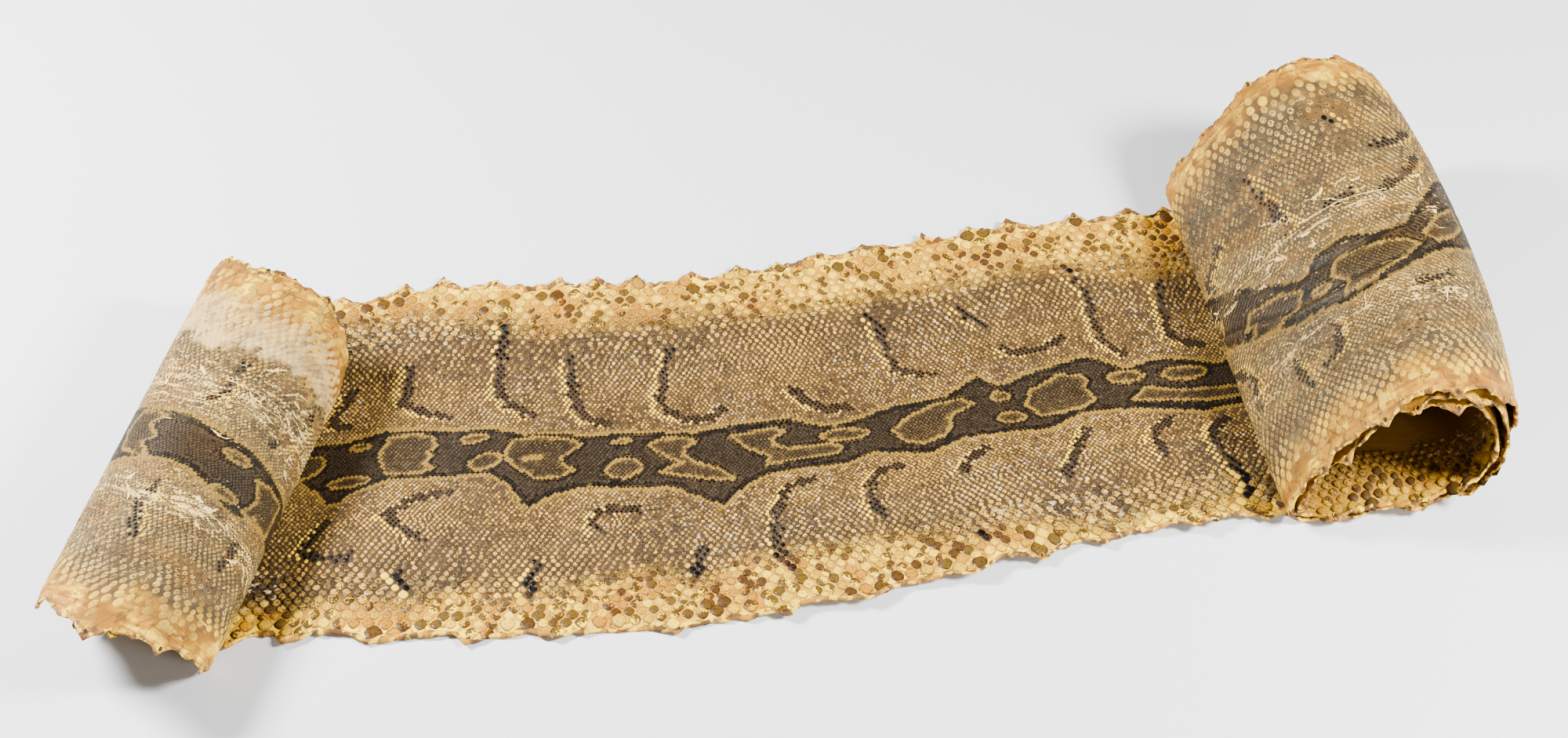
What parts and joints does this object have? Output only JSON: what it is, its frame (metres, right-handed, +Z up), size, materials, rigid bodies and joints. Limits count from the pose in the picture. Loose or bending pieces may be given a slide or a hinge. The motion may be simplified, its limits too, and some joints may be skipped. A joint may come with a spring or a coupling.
{
  "type": "rolled dried snake skin",
  "caption": "Whole dried python hide with pegged, scalloped edges, lying scale side up, with both ends rolled up over themselves, flesh side out.",
  "frame": {"origin": "middle of the bounding box, on the floor that the hide lies on", "axes": "+X along the hide from the flat, skewed roll to the tall roll; +Y across it to the far edge; +Z up, away from the floor"},
  "size_m": [1.1404, 0.4578, 0.1358],
  "materials": {
    "hide": "matt dried hide, slightly glossy scales"
  },
  "bodies": {
    "root": {"skin": "hide"}
  },
  "joints": []
}
